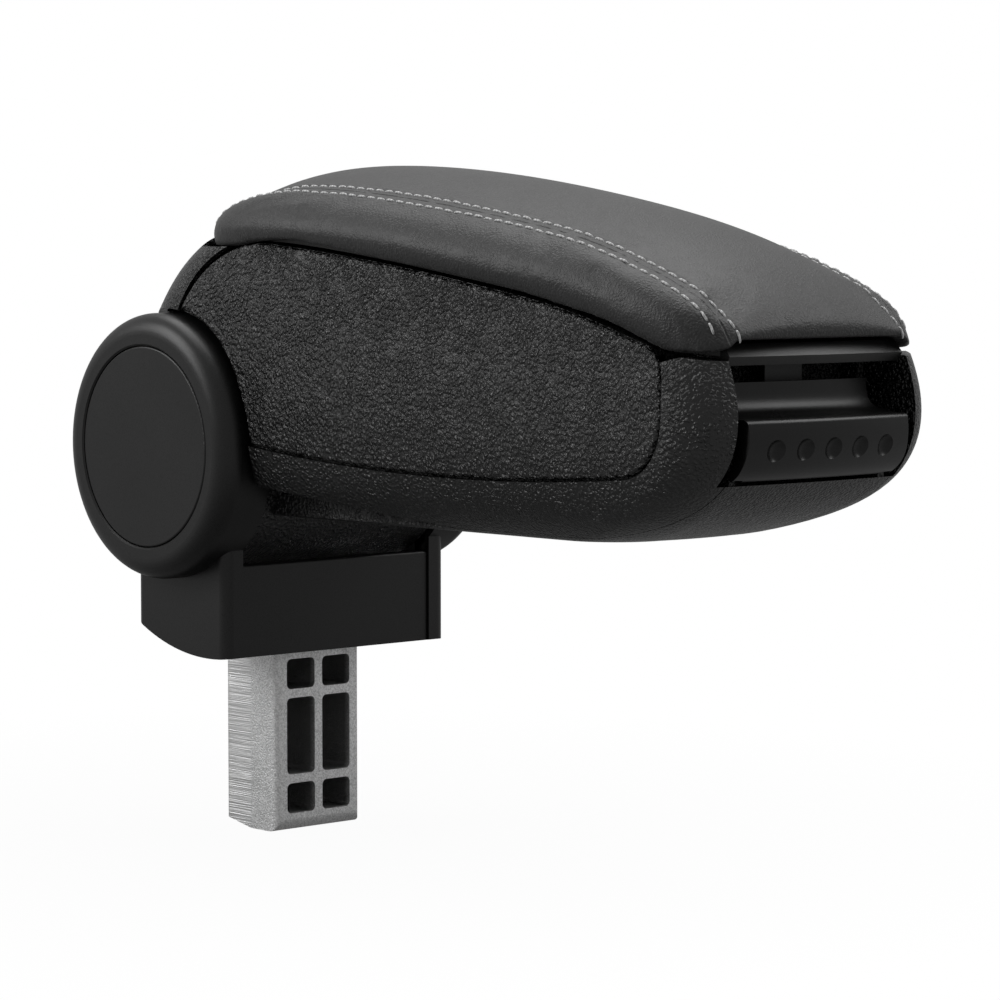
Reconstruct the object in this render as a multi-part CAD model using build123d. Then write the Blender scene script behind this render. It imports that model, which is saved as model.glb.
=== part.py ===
from build123d import *
import os
from math import asin, cos, degrees, radians, sin, sqrt

os.makedirs("parts", exist_ok=True)

# Driving sizes in millimetres. X runs towards the nose of the armrest and Z is up. The origin
# lies on the axis of the mounting post, level with the front of the pedestal's foot.

# Fold axle, and the round ears on either side of it
AXLE_X = -4.6
AXLE_Z = 78.5
AXLE_R = 6.0
EAR_R = 50.0
EAR_INNER_Y = 46.0
EAR_DEPTH = 22.0
EAR_EDGE_R = 7.9
EAR_WALL = 3.0
COVER_BOSS_R = 4.0
CAP_R = 37.7
CAP_T = 2.4
CAP_SINK = 0.35
CAP_EDGE_R = 0.8

# Pedestal under the ears
PED_FRONT_X = 27.8
PED_REAR_X = -27.2
PED_HALF_Y = 54.5
PED_WALL = 2.4
PED_CORNER_R = 4.0
FOOT_MID_RISE = 2.2
FOOT_REAR_RISE = 11.6
PANEL_CLEAR = 4.0
PANEL_T = 3.0
PANEL_SETBACK = 1.0
PANEL_EDGE_R = 1.2

# Cast mounting post with six pockets in its front
POST_DX = 31.4
POST_DY = 41.6
POST_LEN = 70.2
POST_EDGE_R = 2.6
POST_TIP_R = 4.5
POST_TIP_RISE = 3.1
WIN_W = 13.7
WIN_WEB_Y = 3.7
WIN_H_SMALL = 11.6
WIN_H_LARGE = 29.5
WIN_WEB_Z = 3.4
WIN_TOP_Z = -4.0
WIN_DEPTH = 22.0
WIN_R = 2.0

# Steel bracket on the post, and the axle stack it carries
BRACKET_Z = 10.0
BRACKET_T = 4.0
BRACKET_DX = 34.0
BRACKET_EYE_R = 15.0
BRACKET_SCREW_R = 2.4
NUT_R = 10.0
NUT_T = 7.0
WASHER_R = 13.0
WASHER_T = 1.0
DISC_SPRING_T = 2.0
BUSH_R = 9.0
BUSH_FLANGE_T = 0.9

# Armrest box: tub, side shells and their inlays
NOSE_X = 282.0
BOX_HALF_Y = 61.0
BOX_FLOOR_Z = 53.6
NOSE_R = 20.0
NOSE_BOW = 1.5
SIDE_TAPER = 3.2
BOX_REAR_X = -45.0
DRUM_CLEAR = 2.0
DRUM_WALL = 3.0
DRUM_END_T = 4.8
TUB_HALF_Y = 39.8
TUB_WALL = 3.0
TUB_FLOOR_T = 2.6
STORE_FRONT_X = 248.0
BAY_SHELF = 8.0
LIP_Z = 76.0
SHELL_WALL = 5.2
SHELL_RIM_T = 3.4
BAY_SIDE = 2.8
EAR_GAP = 1.8
INLAY_T = 2.6
INLAY_GAP = 0.9
INLAY_EDGE_R = 1.4
INLAY_FRONT_X = 259.4
INLAY_TOP_R = 14.0
INLAY_LOW_R = 21.0
MAT_T = 1.6
SHELL_SCREW_R = 1.5

# Lid, its tail and hinge arms
LID_GAP = 0.8
LID_T = 2.7
SKIRT_T = 7.0
SIDE_DROP = 5.0
TUCK = 4.5
BAR_HALF_Y = 41.8
BAR_FRONT_X = 277.0
BAR_DEPTH = 9.0
BAR_BOTTOM_Z = 115.3
BAR_TOP_Z = 122.3
BAR_CREASE_Z = 118.2
BAR_BEVEL = 3.4
TAIL_WALL = 2.6
TAIL_GAP = 2.2
TAIL_CUT_DEG = 107.0
TAIL_RIB_DEG = 2.6
LID_TRAVEL_DEG = 48.0
ARM_Y = 30.0
ARM_T = 3.0
ARM_FLANGE = 12.0
ARM_FLANGE_T = 2.5
LID_SCREW_R = 1.6
LID_SCREW_X = (24.0, 36.0)
LID_SCREW_HEAD = 2.0
LID_SCREW_BITE = 2.5

# Release lever, its pin and spring, and the keeper on the lid
LEVER_HALF_Y = 39.2
LEVER_FRONT_X = 282.6
LEVER_BOW = 2.0
LEVER_END_R = 5.0
NOTCH_Y = 32.0
NOTCH_RISE = 23.2
NOTCH_SETBACK = 6.0
NOTCH_R = 4.0
PIN_X = 266.5
PIN_Z = 82.0
PIN_R = 2.0
LUG_Y = 28.0
LUG_T = 5.0
PIN_RIB_T = 3.0
DIMPLE_R = 5.0
DIMPLE_PITCH = 13.3
DIMPLE_DEPTH = 1.9
DIMPLE_RISE = 10.8
KEEPER_HALF_Y = 9.0
KEEPER_T = 2.0
CATCH_CLEAR = 2.0
SPRING_R = 3.2
SPRING_WIRE_R = 0.45
SPRING_TURNS = 3
SPRING_PITCH = 1.2

# Clearances
RUN_FIT = 0.06
SLIP = 0.3
SHELL_FIT = 0.4

# Levels of the box's outer skin: rise above its floor, setback from the nose, loss of half width
HULL = [
    (0.0, 74.0, 24.0),
    (3.9, 46.0, 14.5),
    (11.4, 25.0, 7.0),
    (24.4, 7.2, 1.7),
    (44.4, 0.0, 0.0),
    (68.4, 6.6, 1.1),
    (104.4, 20.0, 4.0),
]
HULL_ROLL = 28.0

# Levels of the lid's tail: height, rear position and half width
TAIL = [
    (122.0, -33.0, 57.4),
    (136.0, -22.8, 57.2),
    (147.0, -12.2, 56.6),
    (156.0, 0.2, 54.8),
    (164.0, 15.0, 50.0),
]
TAIL_CORNER_R = 30.0
TAIL_FRONT_X = 40.0

# Side views: the line where lid and box meet, the round shoulder behind it, the nose's own top
# edge, the lower rear edge of the shells, the inlay's lower border and the cushion's lower edge
RIM = [(58.0, 154.2), (110.0, 148.8), (170.0, 140.2), (225.0, 129.2), (262.0, 118.8), (290.0, 117.4)]
RIM_REAR = (-30.0, 150.5)
SHOULDER = [(6.0, 130.0), (22.0, 146.3)]
NOSE_TOP = [(250.0, 114.4), (290.0, 124.2)]
SHELL_LOWER = [(30.0, 67.4), (95.0, 60.2), (170.0, 52.0)]
INLAY_LOWER = [(40.0, 81.4), (150.0, 73.9), (262.0, 79.6)]
SKIRT = [(8.0, 154.0), (34.0, 153.6), (60.0, 155.6), (110.0, 150.0), (170.0, 141.6), (212.0, 134.0),
         (235.0, 128.9), (254.0, 122.2), (266.0, 121.2), (281.0, 123.8)]

# The lever in side view: setback from its front and rise above the tub's lip
LEVER_FRONT = [(8.6, 1.4), (3.8, 5.0), (1.0, 10.0), (0.0, 16.0), (0.4, 20.0)]
LEVER_LIP = [(0.4, 20.0), (1.2, 21.5), (3.0, 21.9)]
LEVER_SCOOP = [(3.0, 21.9), (7.0, 22.3), (10.6, 23.8), (13.0, 27.0), (13.6, 33.5)]
LEVER_BACK = [(16.4, 33.5), (19.4, 32.6), (19.4, 30.6), (16.4, 29.8), (16.4, 23.5), (14.0, 20.0),
              (4.8, 18.0), (4.0, 13.0), (6.6, 8.0), (11.0, 3.4)]
LEVER_LUG = [(10.6, 3.8), (6.4, 11.0), (5.6, 18.2), (14.6, 20.4)]

# Cushion stations: position, seam height, rise of the crown, seam half width, lower half width
CUSHION = [
    (8.4, 162.6, 3.6, 41.0, 43.6),
    (18.0, 168.8, 6.4, 42.0, 52.4),
    (45.0, 173.6, 9.0, 42.0, 58.0),
    (95.0, 172.0, 9.7, 42.0, 58.8),
    (150.0, 165.6, 9.6, 42.0, 58.4),
    (205.0, 156.4, 8.6, 42.0, 57.4),
    (245.0, 144.4, 6.6, 42.0, 55.6),
    (266.0, 132.6, 4.6, 41.4, 51.6),
    (277.4, 124.9, 2.2, 39.2, 44.6),
]

# Sizes that follow from the driving ones
EAR_FACE_Y = EAR_INNER_Y + EAR_DEPTH
CAP_SEAT_Y = EAR_FACE_Y - CAP_T
DRUM_R = EAR_R - DRUM_CLEAR
DRUM_END_Y = EAR_INNER_Y - BUSH_FLANGE_T - SLIP
FRICTION_Y = DRUM_END_Y + BUSH_FLANGE_T + SLIP / 2
BRACKET_Y = EAR_INNER_Y + SLIP
BRACKET_OUT_Y = BRACKET_Y + BRACKET_T
FLOOR_Z = BOX_FLOOR_Z + TUB_FLOOR_T
STORE_HALF_Y = TUB_HALF_Y - TUB_WALL
BAY_BACK_X = STORE_FRONT_X + TUB_WALL
BAY_X = BAY_BACK_X + BAY_SHELF
SHELL_Y = TUB_HALF_Y + SHELL_FIT
BAY_HALF_Y = SHELL_Y + BAY_SIDE
ARM_TOP_Z = RIM[0][1] - 1.4
BOW_R = (LEVER_HALF_Y ** 2 + LEVER_BOW ** 2) / (2 * LEVER_BOW)
FAR = 400.0


def line_xz(points, close=False):
    return Polyline([(x, 0, z) for x, z in points], close=close)


def spline_xz(points):
    return Spline([(x, 0, z) for x, z in points])


def arc_xz(a, b, c):
    return ThreePointArc((a[0], 0, a[1]), (b[0], 0, b[1]), (c[0], 0, c[1]))


def prism(face, y0, y1):
    """Extrude a face of the XZ plane from y0 to y1."""
    return extrude(Pos(0, y0, 0) * face, amount=y1 - y0, dir=(0, 1, 0))


def poly_prism(points, y0, y1):
    return prism(Face(Wire(line_xz(points, close=True).edges())), y0, y1)


def rod(x, z, r, y0, y1):
    """Round bar along Y."""
    return Pos(x, (y0 + y1) / 2, z) * Rot(90, 0, 0) * Cylinder(r, abs(y1 - y0))


def axle_rod(r, y0, y1):
    return rod(AXLE_X, AXLE_Z, r, y0, y1)


def axle_ring(r_out, r_in, y0, y1):
    return axle_rod(r_out, y0, y1) - axle_rod(r_in, min(y0, y1) - 1, max(y0, y1) + 1)


def peg(x, y, r, z0, z1):
    """Round bar along Z."""
    return Pos(x, y, (z0 + z1) / 2) * Cylinder(r, z1 - z0)


def block(x0, x1, y0, y1, z0, z1):
    return Pos((x0 + x1) / 2, (y0 + y1) / 2, (z0 + z1) / 2) * Box(x1 - x0, abs(y1 - y0), z1 - z0)


def round_axle(r, deg):
    """Point at a radius and angle round the fold axis, in side view."""
    return (AXLE_X + r * cos(radians(deg)), AXLE_Z + r * sin(radians(deg)))


def region(curves, corners):
    """Face of the XZ plane: curves in a row, closed by straight lines through the corners."""
    edges = []
    for curve in curves:
        edges += curve.edges()
    end = curves[-1] @ 1
    start = curves[0] @ 0
    edges += line_xz([(end.X, end.Z)] + corners + [(start.X, start.Z)]).edges()
    return Face(Wire(edges))


def mirrored(shape):
    return mirror(shape, about=Plane.XZ)


def largest(shape):
    """The main solid of a result, so that no sliver travels with it."""
    return max(shape.solids(), key=lambda solid: solid.volume)


def save(shape, name):
    shape.label = name
    export_step(shape, f"parts/{name}.step")


def save_pair(left, name):
    """A piece of the left side (+Y) and its mirror image."""
    save(left, f"left_{name}")
    save(mirrored(left), f"right_{name}")


def hull(inset):
    """The box's outer skin, moved inwards by a wall thickness."""
    wires = []
    for rise, setback, loss in HULL:
        roll = max(0.0, 1.0 - rise / HULL_ROLL)
        side = inset * sqrt(max(0.0, 1.0 - roll * roll))
        z = BOX_FLOOR_Z + rise + inset * roll
        w = BOX_HALF_Y - loss - side
        wf = w - SIDE_TAPER
        xn = NOSE_X - setback - side
        xs = xn - NOSE_BOW
        d = NOSE_R * (1 - sqrt(0.5))
        a = (BOX_REAR_X, -w, z)
        b = (xs - NOSE_R, -wf, z)
        c = (xs, NOSE_R - wf, z)
        e = (xs, wf - NOSE_R, z)
        f = (xs - NOSE_R, wf, z)
        g = (BOX_REAR_X, w, z)
        wires.append(Wire([
            Line(a, b),
            ThreePointArc(b, (xs - d, d - wf, z), c),
            ThreePointArc(c, (xn, 0, z), e),
            ThreePointArc(e, (xs - d, wf - d, z), f),
            Line(f, g),
            Line(g, a),
        ]))
    return Solid.make_loft(wires, False)


def tail_hull(inset):
    """The rounded rear end of the lid, moved inwards by a wall thickness."""
    wires = []
    for z, x_rear, half in TAIL:
        x = x_rear + inset * 1.25
        w = half - inset
        r = TAIL_CORNER_R - inset
        d = r * (1 - sqrt(0.5))
        front = TAIL_FRONT_X + TAIL_CORNER_R
        a = (x, r - w, z)
        b = (x + r, -w, z)
        c = (front, -w, z)
        e = (front, w, z)
        f = (x + r, w, z)
        g = (x, w - r, z)
        wires.append(Wire([
            ThreePointArc(a, (x + d, d - w, z), b),
            Line(b, c),
            Line(c, e),
            Line(e, f),
            ThreePointArc(f, (x + d, w - d, z), g),
            Line(g, a),
        ]))
    return Solid.make_loft(wires, False)


def rim_curve(lift):
    """The line between box and lid in side view, raised by a gap, from the rear to the nose."""
    return spline_xz([(x, z + lift) for x, z in [RIM_REAR] + RIM])


def under_rim(lift):
    """Everything below that line."""
    return region([rim_curve(lift)], [(RIM[-1][0], 0), (RIM_REAR[0], 0)])


def side_outline(shrink):
    """A cheek in side view: the round shoulder, then the rim, with an open foot."""
    p, q = SHOULDER
    p = (p[0] + 0.85 * shrink, p[1] - 0.5 * shrink)
    q = (q[0] + 0.6 * shrink, q[1] - 0.8 * shrink)
    top = (RIM[0][0], RIM[0][1] - shrink)
    rim = spline_xz([(x, z - shrink) for x, z in RIM])
    rear = SHOULDER[0][0] - 20
    return region([arc_xz(p, q, top), rim], [(RIM[-1][0], 0), (rear, 0), (rear, AXLE_Z)])


def side_prism(shrink, ear_gap, y0, y1):
    return prism(side_outline(shrink), y0, y1) - axle_rod(EAR_R + ear_gap, -FAR, FAR)


def above_nose(y0, y1):
    """What the nose's own top edge takes off the shells."""
    (x0, z0), (x1, z1) = NOSE_TOP
    return poly_prism([(x0, z0), (x1, z1), (x1, FAR), (x0, FAR)], y0, y1)


def below_shell(lift, y0, y1):
    """What the shells' lower rear edge takes off them."""
    low = arc_xz(*[(x, z + lift) for x, z in SHELL_LOWER])
    return prism(region([low], [(SHELL_LOWER[2][0], 0), (SHELL_LOWER[0][0], 0)]), y0, y1)


def inlay_prism(top_shrink, shrink, y0, y1):
    """The inlay in side view, pulled in below and in front by a gap."""
    low = arc_xz(*[(x, z + shrink) for x, z in INLAY_LOWER])
    below = region([low], [(INLAY_LOWER[2][0], 0), (INLAY_LOWER[0][0], 0)])
    x_end = INLAY_FRONT_X - shrink
    body = prism(side_outline(top_shrink), y0, y1) - prism(below, y0 - 1, y1 + 1)
    body -= block(x_end, FAR, y0 - 1, y1 + 1, 0, FAR)
    body -= block(-FAR, INLAY_LOWER[0][0], y0 - 1, y1 + 1, 0, AXLE_Z)
    for pick, radius in ((min, INLAY_LOW_R), (max, INLAY_TOP_R)):
        nose = [e for e in body.edges() if abs((e @ 0).X - x_end) + abs((e @ 1).X - x_end) < 0.2]
        across = [e for e in nose if abs((e @ 0).Z - (e @ 1).Z) < 0.01]
        body = fillet([pick(across, key=lambda e: e.center().Z)], radius)
    return largest(body - axle_rod(EAR_R + EAR_GAP + shrink, -FAR, FAR))


def bowed(profile, half_width, front_x):
    """Turn a side-view face about a far upright axis, so that its front bows forward."""
    axis = Axis((front_x - BOW_R, 0, 0), (0, 0, 1))
    half = degrees(asin(half_width / BOW_R))
    return revolve(profile, axis, 2 * half).rotate(axis, -half)


def rounded_plan(x0, x1, half_width, radius):
    """Upright slab with rounded front corners, to trim the ends of a bowed piece."""
    slab = block(x0, x1, -half_width, half_width, 0, FAR)
    return fillet(slab.edges().filter_by(Axis.Z).group_by(Axis.X)[-1], radius)


# Base: cast post with its pockets
post_hx = POST_DX / 2
post_hy = POST_DY / 2
tip_d = POST_TIP_R * (1 - sqrt(0.5))
tip_top = (post_hx, POST_TIP_R - POST_LEN)
tip = arc_xz(tip_top, (post_hx - tip_d, tip_d - POST_LEN), (post_hx - POST_TIP_R, -POST_LEN))
post_face = region([line_xz([(post_hx, -SLIP), tip_top]), tip],
                   [(0, -POST_LEN), (-post_hx, POST_TIP_RISE - POST_LEN), (-post_hx, -SLIP)])
post = block(-post_hx, post_hx, -post_hy, post_hy, -POST_LEN - 1, -SLIP)
post = fillet(post.edges().filter_by(Axis.Z), POST_EDGE_R) & prism(post_face, -FAR, FAR)
neck = POST_EDGE_R
post += block(neck - post_hx, post_hx - neck, neck - post_hy, post_hy - neck, -SLIP, BRACKET_Z)
row_top = WIN_TOP_Z
for height in (WIN_H_SMALL, WIN_H_LARGE, WIN_H_SMALL):
    for side in (-1, 1):
        y = side * (WIN_W + WIN_WEB_Y) / 2
        pocket = Pos(post_hx, y, row_top - height / 2) * Box(2 * WIN_DEPTH, WIN_W, height)
        post -= fillet(pocket.edges().filter_by(Axis.X), WIN_R)
    row_top -= height + WIN_WEB_Z
screw_spots = [(sx * post_hx * 0.55, sy * post_hy * 0.6) for sx in (-1, 1) for sy in (-1, 1)]
screw_len = BRACKET_Z - 0.2 * BRACKET_Z
for x, y in screw_spots:
    post -= peg(x, y, BRACKET_SCREW_R + RUN_FIT, BRACKET_Z - screw_len - SLIP, BRACKET_Z + 1)
save(post, "mounting_post")

# Base: steel bracket with two eyes for the axle, and the screws that hold it to the post
bracket_top = BRACKET_Z + BRACKET_T
bracket = block(-BRACKET_DX / 2, BRACKET_DX / 2, -BRACKET_OUT_Y, BRACKET_OUT_Y, BRACKET_Z, bracket_top)
for side in (-1, 1):
    upright = poly_prism([(-BRACKET_DX / 2, BRACKET_Z), (BRACKET_DX / 2, BRACKET_Z),
                          (AXLE_X + BRACKET_EYE_R, AXLE_Z), (AXLE_X - BRACKET_EYE_R, AXLE_Z)],
                         side * BRACKET_Y, side * BRACKET_OUT_Y)
    bracket += upright + axle_rod(BRACKET_EYE_R, side * BRACKET_Y, side * BRACKET_OUT_Y)
bracket -= axle_rod(AXLE_R + RUN_FIT, -FAR, FAR)
for x, y in screw_spots:
    bracket -= peg(x, y, BRACKET_SCREW_R + SLIP, 0, bracket_top + 1)
save(bracket, "pivot_bracket")
head_r = 2 * BRACKET_SCREW_R
head_t = 4.0
bracket_screws = []
for x, y in screw_spots:
    screw = peg(x, y, head_r, bracket_top, bracket_top + head_t)
    screw += peg(x, y, BRACKET_SCREW_R, BRACKET_Z - screw_len, bracket_top)
    socket = Pos(x, y, bracket_top + head_t / 2) * extrude(RegularPolygon(head_r / 2, 6), amount=head_t)
    bracket_screws.append(screw - socket)
save(Compound(children=bracket_screws), "bracket_screws")

# Base: axle bolt with its washers, friction washers, disc spring and nut
washer_out_y = BRACKET_OUT_Y + WASHER_T
nut_y = washer_out_y + DISC_SPRING_T
hexagon = extrude(RegularPolygon(NUT_R, 6), amount=NUT_T)
bolt = Pos(AXLE_X, -washer_out_y, AXLE_Z) * Rot(90, 0, 0) * hexagon
bolt += axle_rod(AXLE_R, -washer_out_y, nut_y + NUT_T + 1)
save(bolt, "pivot_bolt")
nut = Pos(AXLE_X, nut_y, AXLE_Z) * Rot(-90, 0, 0) * hexagon
save(nut - axle_rod(AXLE_R + RUN_FIT, -FAR, FAR), "pivot_nut")
washers = [axle_ring(WASHER_R, AXLE_R + SLIP, s * BRACKET_OUT_Y, s * washer_out_y) for s in (-1, 1)]
save(Compound(children=washers), "pivot_washers")
disc = Cone(WASHER_R - 1, NUT_R - 1, DISC_SPRING_T, align=(Align.CENTER, Align.CENTER, Align.MIN))
disc = Pos(AXLE_X, washer_out_y, AXLE_Z) * Rot(-90, 0, 0) * disc
save(disc - axle_rod(AXLE_R + SLIP, -FAR, FAR), "disc_spring")
friction = [axle_ring(WASHER_R, AXLE_R + SLIP, s * FRICTION_Y, s * BRACKET_Y) for s in (-1, 1)]
save(Compound(children=friction), "friction_washers")

# Base: plastic side covers, each a round ear and one side of the pedestal
foot = arc_xz((PED_REAR_X - 1, FOOT_REAR_RISE), (AXLE_X, FOOT_MID_RISE), (PED_FRONT_X, 0))
foot_face = region([foot], [(PED_FRONT_X + 1, 0), (PED_FRONT_X + 1, -FAR), (PED_REAR_X - 1, -FAR)])
foot_cut = prism(foot_face, -FAR, FAR)
ear = axle_rod(EAR_R, EAR_INNER_Y, EAR_FACE_Y)
ear = fillet(ear.edges().group_by(Axis.Y)[-1], EAR_EDGE_R)
skirt_side = block(PED_REAR_X, PED_FRONT_X, EAR_INNER_Y, PED_HALF_Y, -1, AXLE_Z - EAR_R / 2)
skirt_side = fillet(skirt_side.edges().filter_by(Axis.Z).group_by(Axis.Y)[-1], PED_CORNER_R)
cover = ear + (skirt_side - foot_cut)
rim_chamfer = Cone(CAP_R + SLIP, CAP_R + 3 * SLIP, 2 * SLIP, align=(Align.CENTER, Align.CENTER, Align.MAX))
cover -= axle_rod(CAP_R + SLIP, CAP_SEAT_Y, EAR_FACE_Y + 1)
cover -= Pos(AXLE_X, EAR_FACE_Y, AXLE_Z) * Rot(-90, 0, 0) * rim_chamfer
cover -= axle_rod(EAR_R - EAR_WALL, EAR_INNER_Y - 1, CAP_SEAT_Y - CAP_T)
cover -= block(PED_REAR_X + PED_WALL, PED_FRONT_X - PED_WALL, EAR_INNER_Y - 1, PED_HALF_Y - PED_WALL,
               -FAR, AXLE_Z - WASHER_R)
cover -= axle_rod(BRACKET_EYE_R, EAR_INNER_Y, EAR_FACE_Y)
cover += rod(AXLE_X / 2, AXLE_Z - 2 * BRACKET_EYE_R, COVER_BOSS_R, BRACKET_OUT_Y, CAP_SEAT_Y - CAP_T / 2)
cover += rod(0, bracket_top + 1.5 * COVER_BOSS_R, COVER_BOSS_R, BRACKET_OUT_Y, PED_HALF_Y - PED_WALL / 2)
save_pair(largest(cover), "side_cover")

# Base: cap discs over the axle's ends
cap = axle_rod(CAP_R, CAP_SEAT_Y, EAR_FACE_Y - CAP_SINK)
cap = fillet(cap.edges().group_by(Axis.Y)[-1], CAP_EDGE_R)
cap += axle_ring(BRACKET_EYE_R - SLIP, BRACKET_EYE_R - CAP_T, CAP_SEAT_Y - CAP_T, CAP_SEAT_Y)
save_pair(cap, "cap")

# Base: front and rear panels of the pedestal, set back a little between the covers
panel_half = EAR_INNER_Y - SLIP


def pedestal_panel(x_face, x_back, clear):
    """Upright plate that ends a clearance short of the drum."""
    x0, x1 = sorted((x_face, x_back))
    top_z = AXLE_Z - sqrt((DRUM_R + clear) ** 2 - (x_back - AXLE_X) ** 2)
    panel = block(x0, x1, -panel_half, panel_half, -1, top_z) - foot_cut
    return largest(fillet(panel.edges().filter_by(Axis.Y).group_by(Axis.Z)[-1], PANEL_EDGE_R))


front_face_x = PED_FRONT_X - PANEL_SETBACK
rear_face_x = PED_REAR_X + PANEL_SETBACK
save(pedestal_panel(front_face_x, front_face_x - PANEL_T, PANEL_CLEAR), "front_panel")
save(pedestal_panel(rear_face_x, rear_face_x + PANEL_T, 1.5 * PANEL_CLEAR), "rear_panel")

# Box: tub with its storage, the bay for the lever, and the drum that turns between the ears
skin = hull(0)
tub = skin & prism(side_outline(0.2), -TUB_HALF_Y, TUB_HALF_Y)
tub -= block(-FAR, AXLE_X + 2 * AXLE_R, -FAR, FAR, 0, FAR)
store = [(AXLE_X, FLOOR_Z), (STORE_FRONT_X - 43, FLOOR_Z), (STORE_FRONT_X - 10, FLOOR_Z + 8),
         (STORE_FRONT_X, FLOOR_Z + 24), (STORE_FRONT_X, FAR), (AXLE_X, FAR)]
tub -= poly_prism(store, -STORE_HALF_Y, STORE_HALF_Y)
bay = block(BAY_BACK_X, FAR, -TUB_HALF_Y - 1, TUB_HALF_Y + 1, FLOOR_Z, FAR) & hull(TUB_WALL)
for side in (-1, 1):
    bay -= block(BAY_BACK_X, BAY_X, side * STORE_HALF_Y, side * FAR, 0, FAR)
tub -= bay
tub -= block(BAY_X, FAR, -FAR, FAR, LIP_Z, FAR)
tub += axle_rod(DRUM_R, -DRUM_END_Y, DRUM_END_Y)
tub -= axle_rod(DRUM_R - DRUM_WALL, DRUM_END_T - DRUM_END_Y, DRUM_END_Y - DRUM_END_T)
tub -= axle_rod(BUSH_R, -FAR, FAR)
slot_from = 56.0
slot_to = TAIL_CUT_DEG + LID_TRAVEL_DEG - 3
slot = [round_axle(AXLE_R, 100)]
slot += [round_axle(1.5 * EAR_R, slot_from + (slot_to - slot_from) * i / 4) for i in range(5)]
for side in (-1, 1):
    tub -= poly_prism(slot, side * (ARM_Y - 0.8), side * (ARM_Y + ARM_T + 0.8))
pin_end_y = TUB_HALF_Y - 2.2
rib_y = pin_end_y - PIN_RIB_T
for side in (-1, 1):
    rib = block(BAY_X, PIN_X + 2 * PIN_R, side * rib_y, side * pin_end_y, FLOOR_Z, PIN_Z + 2 * PIN_R)
    tub += (rib & skin) - rod(PIN_X, PIN_Z, PIN_R, -FAR, FAR)
screw_rear_x = AXLE_X + EAR_R + 30
screw_front_x = STORE_FRONT_X - 20
screw_low_z = FLOOR_Z + 16
shell_screw_spots = [(screw_rear_x, screw_low_z), (screw_rear_x, screw_low_z + 64),
                     (screw_front_x, screw_low_z), (screw_front_x, screw_low_z + 44)]
for x, z in shell_screw_spots:
    tub -= rod(x, z, SHELL_SCREW_R + SLIP, -TUB_HALF_Y - 1, TUB_HALF_Y + 1)
save(largest(tub), "box_tub")

# Box: bushes in the drum, rubber mat, screws for the shells
bush = axle_ring(BUSH_R, AXLE_R + RUN_FIT, DRUM_END_Y - DRUM_END_T, DRUM_END_Y)
bush += axle_ring(WASHER_R, AXLE_R + RUN_FIT, DRUM_END_Y, DRUM_END_Y + BUSH_FLANGE_T)
save_pair(bush, "bush")
mat_half = STORE_HALF_Y - 2 * SLIP
mat = block(DRUM_R, STORE_FRONT_X - 46, -mat_half, mat_half, FLOOR_Z, FLOOR_Z + MAT_T)
save(fillet(mat.edges().filter_by(Axis.Z), 2.5 * MAT_T), "tray_mat")
screw_tip_y = SHELL_Y + 9.8
screw_head_t = 1.8
shell_screws = []
for x, z in shell_screw_spots:
    for side in (-1, 1):
        head = rod(x, z, 2 * SHELL_SCREW_R, side * (STORE_HALF_Y - screw_head_t), side * STORE_HALF_Y)
        shell_screws.append(head + rod(x, z, SHELL_SCREW_R, side * STORE_HALF_Y, side * screw_tip_y))
save(Compound(children=shell_screws), "shell_screws")

# Box: side shells, hollow behind, with a pocket for the inlay
core = hull(SHELL_WALL)
cheek = skin & side_prism(0.2, EAR_GAP, SHELL_Y, FAR)
cheek -= below_shell(0, 0, FAR)
cheek -= above_nose(0, FAR)
hollow = core & side_prism(SHELL_RIM_T, EAR_GAP + SHELL_RIM_T, SHELL_Y - 1, FAR)
hollow -= below_shell(SHELL_RIM_T, 0, FAR)
hollow -= block(STORE_FRONT_X - 2 * BAY_SIDE, FAR, 0, BAY_HALF_Y + BAY_SIDE, 0, FAR)
cheek -= hollow
cheek -= block(BAY_BACK_X + 1, FAR, 0, BAY_HALF_Y, LIP_Z, FAR)
cheek -= inlay_prism(-2, 0, SHELL_Y, FAR) - hull(INLAY_T + 0.2)
for x, z in shell_screw_spots:
    cheek += rod(x, z, 2.8 * SHELL_SCREW_R, SHELL_Y, SHELL_Y + 20) & core
    cheek -= rod(x, z, SHELL_SCREW_R + RUN_FIT, SHELL_Y - 1, screw_tip_y + 1)
save_pair(largest(cheek), "side_shell")
inlay = (hull(0.2) & inlay_prism(SLIP, INLAY_GAP, SHELL_Y, FAR)) - hull(INLAY_T)
inlay = largest(inlay)
show_face = max(inlay.faces(), key=lambda f: f.area * f.normal_at(f.center()).Y)
save_pair(fillet(show_face.edges(), INLAY_EDGE_R), "inlay")

# Lid: frame plate under the cushion, with the front bar
plate_side = [(x, low - SKIRT_T) for x, _, _, _, low in CUSHION[1:-1]]
plate_side += [(BAR_FRONT_X - BAR_DEPTH / 2, BAR_HALF_Y - LID_T)]
plan = plate_side + [(x, -y) for x, y in reversed(plate_side)]
plate_slab = extrude(make_face(Polyline([(x, y, 0) for x, y in plan], close=True)), amount=FAR)
lid_band = under_rim(LID_GAP + LID_T)
plate = (prism(lid_band, -FAR, FAR) - prism(under_rim(LID_GAP), -FAR, FAR)) & plate_slab
bar_back = BAR_FRONT_X - BAR_DEPTH
bar_line = [(bar_back, BAR_BOTTOM_Z), (BAR_FRONT_X - 1.6, BAR_BOTTOM_Z), (BAR_FRONT_X, BAR_CREASE_Z),
            (BAR_FRONT_X - BAR_BEVEL, BAR_TOP_Z), (bar_back, BAR_TOP_Z)]
bar = bowed(Face(Wire(line_xz(bar_line, close=True).edges())), BAR_HALF_Y, BAR_FRONT_X)
bar &= rounded_plan(bar_back - LID_T, BAR_FRONT_X + 1, BAR_HALF_Y, LID_T)
lid_frame = plate - block(bar_back, FAR, -FAR, FAR, BAR_TOP_Z, FAR)
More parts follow.
